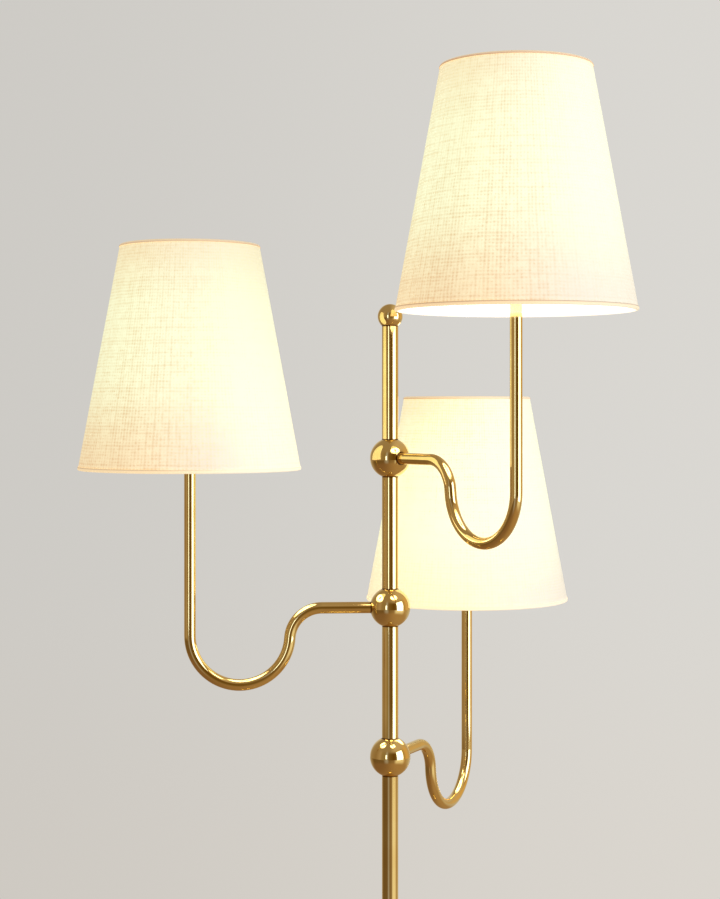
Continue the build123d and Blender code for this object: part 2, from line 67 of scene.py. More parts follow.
def stem(arm):
    """Foot of a shade's axis: on the stem's axis, at the height of the bottom rim."""
    a = radians(HEADING[arm])
    return Vector((REACH * cos(a), REACH * sin(a), HUB_Z[arm] + RISE))


def shade_radius(z):
    return SHADE_FOOT - (SHADE_FOOT - SHADE_HEAD) * z / SHADE_HEIGHT


# ---- Node helpers ----
class Net:
    """A node tree under construction. Sockets and plain numbers go in, and sockets come out."""

    def __init__(self, tree):
        self.tree = tree

    def add(self, kind, values=None, **settings):
        made = self.tree.nodes.new(kind)
        for key, value in settings.items():
            setattr(made, key, value)
        for key, value in (values or {}).items():
            if isinstance(value, bpy.types.NodeSocket):
                self.tree.links.new(value, made.inputs[key])
            else:
                made.inputs[key].default_value = value
        return made

    def math(self, operation, *values, clamp=False):
        made = self.add("ShaderNodeMath", dict(enumerate(values)), operation=operation, use_clamp=clamp)
        return made.outputs[0]

    def times(self, a, b):
        return self.math("MULTIPLY", a, b)

    def plus(self, a, b):
        return self.math("ADD", a, b)

    def minus(self, a, b):
        return self.math("SUBTRACT", a, b)

    def ramp(self, value, low, high, to_low=0.0, to_high=1.0):
        """The value's smooth way from low to high, as a number from to_low to to_high."""
        values = {"Value": value, "From Min": low, "From Max": high, "To Min": to_low, "To Max": to_high}
        return self.add("ShaderNodeMapRange", values, interpolation_type="SMOOTHSTEP").outputs["Result"]

    def mix(self, factor, a, b, blend="MIX"):
        """Colour a at factor 0 and colour b at factor 1."""
        made = self.add("ShaderNodeMix", data_type="RGBA", blend_type=blend)
        ends = [s for s in made.inputs if s.type == "RGBA"]
        for socket, given in zip((made.inputs[0], *ends), (factor, a, b)):
            if isinstance(given, bpy.types.NodeSocket):
                self.tree.links.new(given, socket)
            else:
                socket.default_value = given if isinstance(given, (int, float)) else (*given, 1.0)[:4]
        return [s for s in made.outputs if s.type == "RGBA"][0]

    def vector(self, x, y, z=0.0):
        return self.add("ShaderNodeCombineXYZ", {0: x, 1: y, 2: z}).outputs[0]

    def split(self, vector):
        return self.add("ShaderNodeSeparateXYZ", {0: vector}).outputs[:3]

    def noise(self, vector, scale, detail=2.0, roughness=0.5):
        values = {"Vector": vector, "Scale": scale, "Detail": detail, "Roughness": roughness}
        return self.add("ShaderNodeTexNoise", values).outputs["Fac"]

    def profile(self, place, stops):
        """A colour that follows stops of (place, colour)."""
        node = self.tree.nodes.new("ShaderNodeValToRGB")
        ramp = node.color_ramp
        for k, (at, colour) in enumerate(stops):
            stop = ramp.elements[k] if k < 2 else ramp.elements.new(1.0)
            stop.position, stop.color = at, (*colour, 1.0)
        self.tree.links.new(place, node.inputs[0])
        return node.outputs[0]

    def object_place(self):
        return self.add("ShaderNodeTexCoord").outputs["Object"]

    def bump(self, height, distance, strength=1.0):
        values = {"Height": height, "Distance": distance, "Strength": strength}
        return self.add("ShaderNodeBump", values).outputs[0]


def material(name):
    """A new material, its net and its Principled shader."""
    made = bpy.data.materials.new(name)
    made.use_nodes = True
    shader = made.node_tree.nodes["Principled BSDF"]
    return made, Net(made.node_tree), shader


def finish_shader(net, shader, **values):
    for key, value in values.items():
        socket = shader.inputs[key.replace("_", " ")]
        if isinstance(value, bpy.types.NodeSocket):
            net.tree.links.new(value, socket)
        else:
            socket.default_value = value


# ---- Metals ----
GAP_DEPTH = (0.0003, 0.0012)  # the gap's dark fades over these distances along the rod
GAP_WIDTH = (0.0006, 0.0014)  # and over these out from the rod's face
# The dark in a gap where a rod enters a ball: tarnish, and painted shade.
GAP_SHADE_AND_TARNISH = (0.16, 0.075, 0.02)


def crevice(net, place, centre, axis, radius, far, both=False):
    """1 in the gap round a rod, where it enters a ball at the distance far from the ball's centre.

    The rod has this radius and its axis runs through centre. With both, it enters on both sides.
    """
    away = net.add("ShaderNodeVectorMath", {0: place, 1: centre}, operation="SUBTRACT").outputs[0]
    along = net.add("ShaderNodeVectorMath", {0: away, 1: axis}, operation="DOT_PRODUCT").outputs["Value"]
    square = net.add("ShaderNodeVectorMath", {0: away, 1: away}, operation="DOT_PRODUCT").outputs["Value"]
    out = net.math("SQRT", net.math("MAXIMUM", net.minus(square, net.times(along, along)), 0.0))
    along = net.math("ABSOLUTE", along) if both else along
    near = net.ramp(net.math("ABSOLUTE", net.minus(along, far)), *GAP_DEPTH, 1.0, 0.0)
    return net.times(near, net.ramp(out, radius + GAP_WIDTH[0], radius + GAP_WIDTH[1], 1.0, 0.0))


def brass(name, colour, shade, roughness, gaps=()):
    """Polished and lacquered brass: clouds from shade to colour, wipe marks, hairlines, and tarnish with
    painted shade in its gaps.
    """
    made, net, shader = material(name)
    place = net.object_place()
    clouds = net.noise(place, 38.0, 3.0)
    wipes = net.noise(place, 260.0, 4.0, 0.6)
    x, y, z = net.split(place)
    hairs = net.noise(net.vector(net.times(x, 900.0), net.times(y, 900.0), net.times(z, 60.0)), 1.0, 2.0)
    tone = net.mix(net.ramp(clouds, 0.3, 0.7), shade, colour)
    for gap in gaps:
        # Gaps darkened with tarnish and painted shade.
        tone = net.mix(crevice(net, place, *gap), tone, GAP_SHADE_AND_TARNISH)
    wear = net.plus(net.times(wipes, 0.008), net.ramp(hairs, 0.68, 0.8, 0.0, 0.01))
    finish_shader(
        net,
        shader,
        Base_Color=tone,
        Metallic=1.0,
        Roughness=net.plus(roughness, wear),
        Normal=net.bump(clouds, 0.00002, 0.05),
    )
    return made


def plated(name, colour, roughness, grain, depth):
    """Plated or cast metal with a grain of its own."""
    made, net, shader = material(name)
    place = net.object_place()
    coarse = net.noise(place, grain, 4.0, 0.65)
    spots = net.noise(place, grain / 6, 2.0)
    finish_shader(
        net,
        shader,
        Base_Color=net.mix(net.ramp(spots, 0.35, 0.7), tuple(0.8 * c for c in colour), colour),
        Metallic=1.0,
        Roughness=net.plus(roughness, net.times(coarse, 0.15)),
        Normal=net.bump(coarse, depth, 0.6),
    )
    return made


def screw_metal(name, colour, pitch):
    """Drawn metal with a rolled round thread along its axis."""
    made, net, shader = material(name)
    place = net.object_place()
    z = net.split(place)[2]
    wave = net.math("SINE", net.times(z, tau / pitch))
    grain = net.noise(place, 700.0, 2.0)
    finish_shader(
        net,
        shader,
        Base_Color=net.mix(net.ramp(grain, 0.3, 0.7), tuple(0.85 * c for c in colour), colour),
        Metallic=1.0,
        Roughness=net.plus(0.22, net.times(grain, 0.12)),
        Normal=net.bump(wave, 0.0006, 0.8),
    )
    return made


# ---- Plastics, felt, glass ----
def moulded(name, colour, roughness, grain=900.0, depth=0.00002):
    """Moulded or coated surface: a fine even grain and slight clouds in colour and gloss."""
    made, net, shader = material(name)
    place = net.object_place()
    fine = net.noise(place, grain, 3.0, 0.6)
    clouds = net.noise(place, 45.0, 2.0)
    finish_shader(
        net,
        shader,
        Base_Color=net.mix(net.ramp(clouds, 0.3, 0.75), tuple(0.9 * c for c in colour), colour),
        Roughness=net.plus(roughness, net.times(fine, 0.12)),
        Normal=net.bump(fine, depth, 0.5),
    )
    return made


def felt(name, colour):
    """Pressed wool felt: short fibres that lie every way, with a soft sheen."""
    made, net, shader = material(name)
    place = net.object_place()
    x, y, z = net.split(place)
    ways = []
    for x_scale, y_scale in ((300.0, 1600.0), (1600.0, 300.0)):
        stretched = net.vector(net.times(x, x_scale), net.times(y, y_scale), net.times(z, 900.0))
        ways.append(net.noise(stretched, 1.0, 3.0, 0.7))
    fibres = net.math("MAXIMUM", *ways)
    finish_shader(
        net,
        shader,
        Base_Color=net.mix(net.ramp(fibres, 0.45, 0.75), colour, tuple(2.2 * c for c in colour)),
        Roughness=0.95,
        Sheen_Weight=0.3,
        Normal=net.bump(fibres, 0.0004, 0.7),
    )
    return made


def glow_gain(net, level, mirrored):
    """A lit surface's glow strength, and a painted extra share of it that only polished metal mirrors."""
    path = net.add("ShaderNodeLightPath")
    return net.plus(level, net.times(path.outputs["Is Glossy Ray"], net.times(mirrored, level)))


def lit_glass(name):
    """Frosted glass round a lamp that is on."""
    made, net, shader = material(name)
    frost = net.noise(net.object_place(), 900.0, 3.0, 0.6)
    finish_shader(
        net,
        shader,
        Base_Color=(0.95, 0.94, 0.90, 1.0),
        Roughness=net.plus(0.35, net.times(frost, 0.2)),
        Emission_Color=net.mix(frost, (1.0, 0.93, 0.76), (1.0, 0.96, 0.84)),
        Emission_Strength=2.2,
        Normal=net.bump(frost, 0.00003, 0.3),
    )
    return made


# ---- The shades' linen, tape and lining ----
PITCH = 0.0032  # from one thread of the linen to the next
SWAY, SWAY_SCALE = 0.0022, 26.0  # how far the threads wander, and how often
MIRRORED = 0.3  # painted extra glow of the cloth, seen only in what polished metal mirrors
# Painted light: the lamp's glow through the cloth, dimmer on the right where the key lamp lights the cloth,
# and warmer and dimmer at the rims, away from the bulb.
GLOW_LEFT, GLOW_RIGHT = (0.775, 0.795, 0.475), (0.635, 0.652, 0.405)
WARM_LEFT = (0.73, 0.56, 0.275)  # at both rims
WARM_HEAD_RIGHT, WARM_FOOT_RIGHT = (0.60, 0.48, 0.28), (0.49, 0.42, 0.30)
THREAD_TINT = (0.79, 0.60, 0.40)  # what a thick thread lets through


def threads(net, across, along, seed):
    """One set of threads: where each thread is thick, from 0 to 1, and its rounded section.

    Each thread has its own weight and slubs along it. Streaks and hairs don't keep to one thread.
    """
    count = net.math("FLOOR", net.times(across, 1.0 / PITCH))
    section = net.times(0.5, net.minus(1.0, net.math("COSINE", net.times(across, tau / PITCH))))
    own = net.add("ShaderNodeTexWhiteNoise", {"W": net.plus(count, seed)}, noise_dimensions="1D")
    slub = net.noise(net.vector(net.times(count, 3.7), net.times(along, 150.0), seed), 1.0, 2.0, 0.6)
    slow = net.times(along, 60.0)
    streak = net.noise(net.vector(net.times(across, 190.0), slow, seed + 9.0), 1.0, 2.0, 0.6)
    hair = net.noise(net.vector(net.times(across, 340.0), slow, seed + 23.0), 1.0, 1.0)
    fine = net.plus(net.times(slub, 0.8), net.times(hair, 0.75))
    broad = net.plus(net.times(own.outputs["Value"], 0.3), net.times(streak, 0.6))
    return net.ramp(net.plus(fine, broad), 0.95, 1.5), section


def weave(net):
    """Density of the cloth, from 0 to 1, its height, and its map.

    The map holds, in metres, each point's place round the cone and up its slope, as the threads run.
    """
    cloth = net.add("ShaderNodeUVMap", uv_map="Weave").outputs["UV"]
    x, y, _ = net.split(cloth)
    sway = net.times(net.minus(net.noise(cloth, SWAY_SCALE, 2.0), 0.5), SWAY)
    drift = net.times(net.minus(net.noise(net.vector(y, x, 4.0), SWAY_SCALE, 2.0), 0.5), SWAY)
    x, y = net.plus(x, sway), net.plus(y, drift)
    body, height, sections = [], [], []
    for across, along, seed in ((x, y, 3.0), (y, x, 17.0)):
        thick, section = threads(net, across, along, seed)
        body.append(net.times(thick, net.plus(0.3, net.times(section, 0.7))))
        height.append(net.times(section, net.plus(0.5, thick)))
        sections.append(section)
    dots = net.times(net.times(*sections), net.ramp(net.noise(cloth, 420.0, 2.0, 0.6), 0.42, 0.64, 0.1, 0.65))
    return net.plus(net.times(net.plus(*body), 0.44), dots), net.plus(*height), cloth


def linen(name, threads_low, threads_high, foot, head):
    """Natural linen with a lamp behind it: a painted glow, warmer near the rims and dimmer on the right,
    through slubbed threads.

    threads_low and threads_high say how strong the threads are near the bottom and near the top.
    foot and head say how far the warm tone sets in at each rim, from the left to the right.
    """
    made, net, shader = material(name)
    density, height, cloth = weave(net)
    x, _, z = net.split(net.object_place())
    t = net.times(z, 1.0 / SHADE_HEIGHT)
    # Painted light: the glow dims on the right, where the key lamp lights the cloth, and warms and dims near
    # the rims, away from the bulb.
    lit = net.ramp(x, -0.06, 0.04)
    tone = net.mix(lit, GLOW_LEFT, GLOW_RIGHT)
    at_head = net.times(net.ramp(t, 0.72, 1.04), net.ramp(x, -0.02, 0.06, *head))
    tone = net.mix(at_head, tone, net.mix(lit, WARM_LEFT, WARM_HEAD_RIGHT))
    at_foot = net.times(net.ramp(t, 0.0, 0.46, 1.0, 0.0), net.ramp(x, 0.02, 0.11, *foot))
    tone = net.mix(at_foot, tone, net.mix(net.ramp(x, -0.04, 0.06), WARM_LEFT, WARM_FOOT_RIGHT))
    # Painted light: the threads fade on the right, where the key lamp outshines them.
    patches = net.ramp(net.noise(cloth, 21.0, 3.0, 0.6), 0.3, 0.75)
    seen = net.times(density, net.plus(0.7, net.times(patches, 0.3)))
    seen = net.times(seen, net.ramp(x, -0.01, 0.06, 1.0, 0.08))
    seen = net.times(seen, net.ramp(t, 0.1, 0.75, threads_low, threads_high))
    glow = net.mix(net.math("ADD", seen, 0.0, clamp=True), (1.0, 1.0, 1.0), THREAD_TINT)
    finish_shader(
        net,
        shader,
        Base_Color=net.mix(density, (0.68, 0.665, 0.64), (0.66, 0.61, 0.56)),
        Roughness=0.9,
        Sheen_Weight=0.15,
        Emission_Color=net.mix(1.0, tone, glow, "MULTIPLY"),
        Emission_Strength=glow_gain(net, 1.0, MIRRORED),
        Normal=net.bump(height, 0.00016, 0.5),
    )
    shader.inputs["Specular IOR Level"].default_value = 0.2
    return made


RIBS = 520.0  # of the tape, round a rim
LAMP_WHITE = (1.0, 0.96, 0.84)


def tape(name, foot, head):
    """Woven hem tape with a painted glow: darker where its edge is glued down, partly painted shade, and
    painted white inside as lit by the lamp.

    foot and head say how far the glow of the shade hides it at each rim, from the left to the right.
    """
    made, net, shader = material(name)
    place = net.object_place()
    x, y, z = net.split(place)
    angle = net.math("ARCTAN2", y, x)
    ribs = net.times(0.5, net.plus(1.0, net.math("SINE", net.times(angle, RIBS))))
    fuzz = net.noise(place, 900.0, 3.0, 0.6)
    up = net.ramp(z, 0.02, 0.2)
    from_rim = net.math("MINIMUM", z, net.minus(SHADE_HEIGHT, z))
    edge = net.ramp(net.plus(from_rim, net.times(up, 0.001)), 0.0024, 0.0035)
    face = net.minus(SHADE_FOOT, net.times(z, SHADE_SLOPE))
    radius = net.math("SQRT", net.plus(net.times(x, x), net.times(y, y)))
    inside = net.ramp(net.minus(face, radius), 0.0022, 0.0042)
    # Painted light: the tape's glow, darker at its glued edge, partly painted shade, and with other tones on
    # the right, where the key lamp lights it.
    key_lit_side = net.ramp(x, -0.03, 0.08)
    lit = net.mix(up, net.mix(key_lit_side, (0.64, 0.45, 0.23), (0.53, 0.45, 0.30)), (0.44, 0.30, 0.175))
    dark = net.mix(up, net.mix(key_lit_side, (0.26, 0.14, 0.06), (0.13, 0.14, 0.12)), (0.30, 0.14, 0.05))
    fade = net.ramp(z, 0.02, 0.2, net.ramp(x, -0.03, 0.07, *foot), net.ramp(x, -0.06, 0.03, *head))
    glow = net.mix(key_lit_side, (0.72, 0.66, 0.40), (0.60, 0.56, 0.44))
    tone = net.mix(fade, net.mix(edge, lit, dark), glow)
    # Painted light: the tape's inside glows white, as lit by the lamp.
    tone = net.mix(inside, tone, LAMP_WHITE)
    finish_shader(
        net,
        shader,
        Base_Color=net.mix(net.times(ribs, fuzz), (0.80, 0.63, 0.47), (0.66, 0.48, 0.32)),
        Roughness=0.85,
        Sheen_Weight=0.1,
        Emission_Color=tone,
        Emission_Strength=glow_gain(net, 1.0, MIRRORED),
        Normal=net.bump(net.plus(ribs, fuzz), 0.00008, 0.5),
    )
    return made


def lining(name, foot):
    """Smooth white film inside the linen, its glow painted as lit by the lamp, from the height foot up.

    Its painted reflection in polished metal is brightest round the bulb.
    """
    made, net, shader = material(name)
    place = net.object_place()
    z = net.split(place)[2]
    clouds = net.noise(place, 30.0, 2.0)
    fine = net.noise(place, 1200.0, 2.0)
    finish_shader(
        net,
        shader,
        Base_Color=net.mix(clouds, (0.93, 0.91, 0.85), (0.97, 0.95, 0.90)),
        Roughness=net.plus(0.5, net.times(fine, 0.15)),
        Emission_Color=net.mix(clouds, (1.0, 0.95, 0.80), (1.0, 0.98, 0.86)),
        Emission_Strength=glow_gain(net, 1.0, net.ramp(z, foot + 0.012, foot + 0.06, 0.2, 2.4)),
        Normal=net.bump(fine, 0.00002, 0.3),
    )
    return made


# ---- Mesh helpers ----
def new_object(name, mesh, place, finish):
    made = bpy.data.objects.new(name, mesh)
    bpy.context.scene.collection.objects.link(made)
    made.location = place
    mesh.materials.append(finish)
    for face in mesh.polygons:
        face.use_smooth = True
    return made


def grid_mesh(name, columns, rows, point, close=False, on_map=None):
    """A sheet of columns by rows of points, closed round where asked.

    on_map gives each point's place on the map of the weave.
    """
    bm = bmesh.new()
    made = [[bm.verts.new(point(i, j)) for j in range(rows)] for i in range(columns)]
    layer = bm.loops.layers.uv.new("Weave") if on_map else None
    for i in range(columns if close else columns - 1):
        for j in range(rows - 1):
            corners = [(i, j), (i + 1, j), (i + 1, j + 1), (i, j + 1)]
            face = bm.faces.new([made[a % columns][b] for a, b in corners])
            if on_map:
                for loop, (a, b) in zip(face.loops, corners):
                    loop[layer].uv = on_map(a, b)
    mesh = bpy.data.meshes.new(name)
    bm.to_mesh(mesh)
    bm.free()
    return mesh


def thicken(made, thickness, offset=-1.0):
    solid = made.modifiers.new("Thickness", "SOLIDIFY")
    solid.thickness = thickness
    solid.offset = offset
    solid.use_even_offset = True


# ---- Shade pieces, on the stem's axis with the bottom rim at z = 0 ----
AROUND, UP = 240, 34  # faces of the linen, round and up
LINEN = 0.00045  # thickness
LAP = 0.009  # the cloth's overlap at the back
LAP_STEP = 0.00042  # how far the overlap stands out
LAP_REACH = 2.5  # the cloth starts to lift this many overlaps before its edge
WAVE = 0.00022  # how far the cloth strays from the cone
WAVES_AROUND, WAVES_UP = 3.0, 14.0  # and how often, round it and along its height
MAP_STEP = 0.031  # sets the shades apart on the map of the weave, so that no two look alike


def linen_cone(arm):
    """Linen cut as a flat ring sector, wrapped from the back round to the back, where it overlaps."""
    low, high = TAPE, SHADE_HEIGHT - TAPE
    turn = tau + LAP / SHADE_FOOT
    seed = ARMS.index(arm) * 13.7

    def place(i, j):
        z = low + (high - low) * j / UP
        angle = pi / 2 + turn * i / AROUND
        over = max(0.0, 1.0 - (1.0 - i / AROUND) * turn / (LAP_REACH * LAP / SHADE_FOOT))
        rise = LAP_STEP * over * over * (3 - 2 * over)
        waves = Vector((WAVES_AROUND * cos(angle), WAVES_AROUND * sin(angle), WAVES_UP * z + seed))
        inside = sin(pi * j / UP)
        r = shade_radius(z) - TAPE + rise + WAVE * noise.noise(waves) * inside
        return Vector((r * cos(angle), r * sin(angle), z))

    def on_map(i, j):
        z = low + (high - low) * j / UP
        along = (turn * i / AROUND - pi) * shade_radius(SHADE_HEIGHT / 2)
        return along + MAP_STEP * (1 + ARMS.index(arm)), z / cos(SHADE_TAPER)

    mesh = grid_mesh(f"shade_linen_{arm}", AROUND + 1, UP + 1, place, on_map=on_map)
    made = new_object(f"shade_linen_{arm}", mesh, stem(arm), linens[arm])
    thicken(made, LINEN)
    return made


FOOT_TAPE, HEAD_TAPE = 0.0038, 0.0029  # how tall the tape is on the outside, at the bottom and the top rim
INNER_TAPE = 0.0039  # and on the inside
FOLD = 12  # faces round its fold
FOLD_RISE, FOLD_DEPTH = 0.0021, 0.00185  # from the rim to where the fold starts, and from there to its lowest
TAPE_LIFT, TAPE_STRAY = 0.00012, 0.00006  # how far the tape stands out from the linen, and strays from that
TAPE_BODY = 0.0004  # its thickness in the mesh
SLIT, SLIT_RISE = 1.6, 0.0016  # half a slit's width in degrees, and the height that stays uncut
TAPE_LAP = 0.0004  # how far the tape's own overlap stands out
TAPE_LAP_AT, TAPE_LAP_WIDE = 92.0, 5.0  # degrees from +X to its middle, and from there to where it ends


def tape_section(over, tall):
    """A folded tape, from its outer edge over the rim to its inner edge.

    Each point is its inset from the shade's face and its distance from the rim.
    """
    outer = TAPE / 2 - over
    inner = WIRE_INSET + WIRE + TAPE
    middle, half = (outer + inner) / 2, (inner - outer) / 2
    fold = []
    for k in range(FOLD + 1):
        slant = pi * k / FOLD
        fold.append((middle - half * cos(slant), FOLD_RISE - FOLD_DEPTH * sin(slant)))
    return [(outer, tall), (outer, tall - 0.0006)] + fold + [(inner, 0.0030), (inner, INNER_TAPE)]


def hem_tape(arm):
    """Both hems: tape folded over each rim, a little uneven, slit inside the top rim at each spoke."""
    bm = bmesh.new()
    seed = ARMS.index(arm) * 5.1
    for top in (False, True):
        rings = []
        for i in range(AROUND):
            angle = tau * i / AROUND
            lap = max(0.0, 1.0 - abs(degrees(angle) - TAPE_LAP_AT) / TAPE_LAP_WIDE)
            pinch = noise.noise(Vector((9 * cos(angle), 9 * sin(angle), seed + top)))
            over = TAPE_LIFT + TAPE_LAP * lap + TAPE_STRAY * pinch
            from_spoke = min(abs((degrees(angle) - s + 180) % 360 - 180) for s in SPOKES)
            ring = []
            for inset, away in tape_section(over, HEAD_TAPE if top else FOOT_TAPE):
                if top and inset > WIRE_INSET and from_spoke < SLIT:
                    away = min(away, SLIT_RISE)
                z = SHADE_HEIGHT - away if top else away
                wire_z = SHADE_HEIGHT - WIRE_RISE if top else WIRE_RISE
                r = shade_radius(z if inset < WIRE_INSET else wire_z) - inset
                ring.append(bm.verts.new((r * cos(angle), r * sin(angle), z)))
            rings.append(ring)
        for i in range(AROUND):
            for j in range(len(rings[0]) - 1):
                after = rings[(i + 1) % AROUND]
                corners = [rings[i][j], after[j], after[j + 1], rings[i][j + 1]]
                bm.faces.new(corners if top else corners[::-1])
    mesh = bpy.data.meshes.new(f"shade_hem_{arm}")
    bm.to_mesh(mesh)
    bm.free()
    made = new_object(f"shade_hem_{arm}", mesh, stem(arm), hems[arm])
    thicken(made, TAPE_BODY, 0.0)
    return made


PAD_SIDES, PAD_RINGS, PAD_EDGE_STEPS = 160, 9, 8
PAD_EDGE = 0.0009  # how far the rounded edge reaches in
NAP = 0.0002


def felt_pad():
    """Felt disc with a soft, slightly uneven edge."""
    profile = [(0.0, PAD_HEIGHT)] + [(PAD_RADIUS * k / PAD_RINGS, PAD_HEIGHT) for k in range(1, PAD_RINGS)]
    for k in range(PAD_EDGE_STEPS + 1):
        slant = pi * k / PAD_EDGE_STEPS
        r = PAD_RADIUS - PAD_EDGE + PAD_EDGE * sin(slant)
        profile.append((r, PAD_HEIGHT / 2 + PAD_HEIGHT / 2 * cos(slant)))
    profile += [(PAD_RADIUS * k / PAD_RINGS, 0.0) for k in range(PAD_RINGS - 1, 0, -1)] + [(0.0, 0.0)]

    def place(i, j):
        r, z = profile[j]
        angle = tau * i / PAD_SIDES
        nap = NAP * noise.noise(Vector((60 * r * cos(angle), 60 * r * sin(angle), 5.0)))
        z += nap if 0.0 < z < PAD_HEIGHT else 0.0
        return Vector((r * cos(angle) * (1 + nap), r * sin(angle) * (1 + nap), z))

    mesh = grid_mesh("felt_pad", PAD_SIDES, len(profile), place, close=True)
    bm = bmesh.new()
    bm.from_mesh(mesh)
    bmesh.ops.remove_doubles(bm, verts=bm.verts, dist=0.00001)
    bmesh.ops.recalc_face_normals(bm, faces=bm.faces)
    bm.to_mesh(mesh)
    bm.free()
    return new_object("felt_pad", mesh, Vector(), finishes["black_felt"])


# ---- Finishes of all pieces ----
BRASS = ((0.86, 0.66, 0.28), (0.82, 0.60, 0.235), 0.05)  # colour, shade and roughness
# Where the column enters the hubs and the finial, its gaps get tarnish and painted shade.
column_gaps = [((0.0, 0.0, z), (0.0, 0.0, 1.0), COLUMN_RADIUS, COLUMN_OUT, True) for z in HUB_Z.values()]
column_gaps.append(((0.0, 0.0, FINIAL_Z), (0.0, 0.0, -1.0), COLUMN_RADIUS, FINIAL_OUT))
finishes = {
    "polished_brass": brass("polished_brass", *BRASS, gaps=column_gaps),
    "contact_brass": brass("contact_brass", (0.82, 0.74, 0.52), (0.76, 0.66, 0.44), roughness=0.16),
    "raw_iron": plated("raw_iron", (0.12, 0.12, 0.125), roughness=0.55, grain=420.0, depth=0.0004),
    "zinc_steel": plated("zinc_steel", (0.66, 0.67, 0.70), roughness=0.28, grain=650.0, depth=0.00004),
    "white_wire": moulded("white_wire", (0.90, 0.89, 0.86), roughness=0.38, grain=1400.0, depth=0.00004),
    "black_felt": felt("black_felt", (0.016, 0.016, 0.017)),
    "black_bushing": moulded("black_bushing", (0.022, 0.022, 0.023), roughness=0.5),
    "white_nylon": moulded("white_nylon", (0.86, 0.85, 0.81), roughness=0.4),
    "lead_sheath": moulded("lead_sheath", (0.80, 0.76, 0.66), roughness=0.35),
    "black_phenolic": moulded("black_phenolic", (0.028, 0.024, 0.022), roughness=0.22),
    "knob_plastic": moulded("knob_plastic", (0.024, 0.021, 0.020), roughness=0.26),
    "hem_tape": tape("hem_tape", foot=(0.0, 0.0), head=(0.0, 0.0)),
    "bulb_cap": screw_metal("bulb_cap", (0.82, 0.82, 0.83), pitch=0.0036),
    "frosted_glass": lit_glass("frosted_glass"),
}
hems = {
    "upper": finishes["hem_tape"],
    "middle": tape("hem_tape_middle", foot=(0.2, 0.9), head=(0.2, 0.2)),
    "lower": tape("hem_tape_lower", foot=(0.85, 0.95), head=(0.06, 0.42)),
}
LINEN_LOOKS = {
    "upper": {"threads_low": 1.3, "threads_high": 0.85, "foot": (1.0, 0.95), "head": (0.6, 0.1)},
    "middle": {"threads_low": 1.3, "threads_high": 0.9, "foot": (1.0, 0.5), "head": (0.75, 0.65)},
    "lower": {"threads_low": 0.1, "threads_high": 0.8, "foot": (0.85, 1.0), "head": (0.7, 0.1)},
}
linens = {arm: linen(f"shade_linen_{arm}", **look) for arm, look in LINEN_LOOKS.items()}


def dress(node, finish):
    for holder in frame["nodes"][node].material_slots:
        holder.material = finish


for part in frame["record"]["subparts"]:
    dress(part["node"], finishes.get(part["material_slot"], finishes["white_wire"]))

# Each arm has a brass, a lining, a linen and a tape of its own.
for arm in ARMS:
    dress(f"shade_liner_{arm}", lining(f"shade_liner_{arm}", stem(arm).z))
    hub = (0.0, 0.0, HUB_Z[arm])
    axis = (cos(radians(HEADING[arm])), sin(radians(HEADING[arm])), 0.0)
    # Where this arm and the column enter the hub, its gaps get tarnish and painted shade.
    gaps = [(hub, axis, ARM_RADIUS, ARM_OUT), (hub, (0.0, 0.0, 1.0), COLUMN_RADIUS, COLUMN_OUT, True)]
    hub_brass = brass(f"hub_brass_{arm}", *BRASS, gaps=gaps)
    for node in ("hub_ball", "arm_tube"):
        dress(f"{node}_{arm}", hub_brass)
    cloth, hem = linen_cone(arm), hem_tape(arm)
    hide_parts(f"shade_fabric_{arm}")
    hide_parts(f"shade_hems_{arm}")
    for piece in (cloth, hem):
        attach(piece, f"arm_{arm}")

pad = felt_pad()
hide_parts("base_pad")
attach(pad, "stand")


# ---- Camera: level, on a lens that is shifted down ----
lens = bpy.data.cameras.new("camera")
lens.lens = 71.15
lens.sensor_width = 36.0
lens.shift_y = -0.0456
camera = bpy.data.objects.new("camera", lens)
camera.location = (-0.0313, -1.845, 1.2764)
camera.rotation_euler = (pi / 2, 0.0, 0.0)
bpy.context.scene.collection.objects.link(camera)
bpy.context.scene.camera = camera
bpy.context.scene.view_settings.view_transform = "Standard"


# ---- Light ----
AIM = Vector((0.0, 0.0, 1.1))  # where the lamps point
COOL = (0.58, 0.73, 1.0)


def softbox(name, azimuth, distance, height, width, tall, radiance, mirrored):
    """A rectangular lamp that faces the column. Polished metal mirrors it, or else it lights the rest.

    Azimuth 0 is the viewer's side, and 90 the right.
    """
    lamp = bpy.data.lights.new(name, "AREA")
    lamp.color = COOL if mirrored else (1.0, 1.0, 1.0)
    lamp.shape = "RECTANGLE"
    lamp.size, lamp.size_y = width, tall
    lamp.energy = radiance * pi * width * tall
    made = bpy.data.objects.new(name, lamp)
    made.visible_glossy = mirrored
    made.visible_diffuse = not mirrored
    a = radians(azimuth)
    made.location = (distance * sin(a), -distance * cos(a), height)
    made.rotation_euler = (AIM - made.location).to_track_quat("-Z", "Y").to_euler()
    bpy.context.scene.collection.objects.link(made)


SOFTBOXES = [
    # name, azimuth, distance, height, width, tall, radiance, mirrored
    ("key", 49.0, 2.6, 1.32, 1.7, 1.75, 3.0, False),
    ("panel", 59.0, 2.6, 1.43, 1.95, 2.08, 4.4, True),
    ("strip", -23.0, 3.0, 1.265, 0.40, 1.17, 3.5, True),
]
for box in SOFTBOXES:
    softbox(*box)

